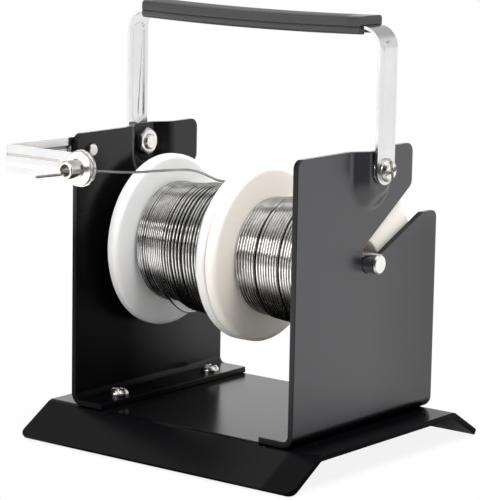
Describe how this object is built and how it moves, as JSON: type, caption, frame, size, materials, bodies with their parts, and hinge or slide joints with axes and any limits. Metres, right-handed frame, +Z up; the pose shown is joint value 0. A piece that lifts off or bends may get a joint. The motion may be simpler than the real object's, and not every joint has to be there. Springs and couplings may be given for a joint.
{
  "type": "solder wire stand",
  "caption": "Bent-sheet stand with reels of solder wire on a lift-out rod, a folding carry handle and a swinging wire-guide arm.",
  "frame": {"origin": "on the table under the middle of the overall box, measured without the free wire", "axes": "+Z up; +X along the rod, from the plate that carries the guide arm to the other plate; the guide arm reaches out to -Y"},
  "size_m": [0.137, 0.1751, 0.1742],
  "materials": {
    "powder_coat": "black satin powder coat",
    "bright_strip": "bright plated steel strip",
    "plated_screw": "nickel plated steel",
    "rod_steel": "ground steel",
    "grip_plastic": "black moulded plastic",
    "white_plastic": "white moulded plastic",
    "cream_plastic": "cream moulded plastic",
    "solder": "bright tin alloy wire"
  },
  "bodies": {
    "stand": {"base_plate": "powder_coat", "left_side_plate": "powder_coat", "right_side_plate": "powder_coat", "foot_screws": "plated_screw", "foot_nuts": "plated_screw", "handle_screws": "plated_screw", "handle_washers": "plated_screw", "handle_nuts": "plated_screw", "guide_screw": "plated_screw", "guide_washer": "plated_screw"},
    "handle": {"handle_strap": "bright_strip", "handle_grip": "grip_plastic"},
    "guide": {"guide_arm": "bright_strip", "guide_bushing": "bright_strip", "solder_lead": "solder"},
    "rod": {"axle_rod": "rod_steel"},
    "left_reel": {"left_spool": "white_plastic", "left_winding_core": "solder", "left_winding_turns": "solder"},
    "right_reel": {"right_spool": "cream_plastic", "right_winding_core": "solder", "right_winding_turns": "solder"}
  },
  "joints": [
    {"name": "handle_swing", "type": "hinge", "parent": "stand", "child": "handle", "pos_m": [0, 0.01475, 0.1156], "axis": [1, 0, 0], "range_deg": [-104, 70]},
    {"name": "guide_swing", "type": "hinge", "parent": "stand", "child": "guide", "pos_m": [-0.0567, -0.02385, 0.116], "axis": [1, 0, 0], "range_deg": [-15, 40], "deforming": ["solder_lead"]},
    {"name": "rod_lift", "type": "slide", "parent": "stand", "child": "rod", "axis": [0, 0.6947, 0.7193], "range_m": [0, 0.014]},
    {"name": "left_reel_spin", "type": "hinge", "parent": "rod", "child": "left_reel", "pos_m": [-0.0227, 0.01475, 0.07605], "axis": [1, 0, 0], "continuous": true},
    {"name": "right_reel_spin", "type": "hinge", "parent": "rod", "child": "right_reel", "pos_m": [0.0276, 0.01475, 0.07605], "axis": [1, 0, 0], "continuous": true}
  ]
}
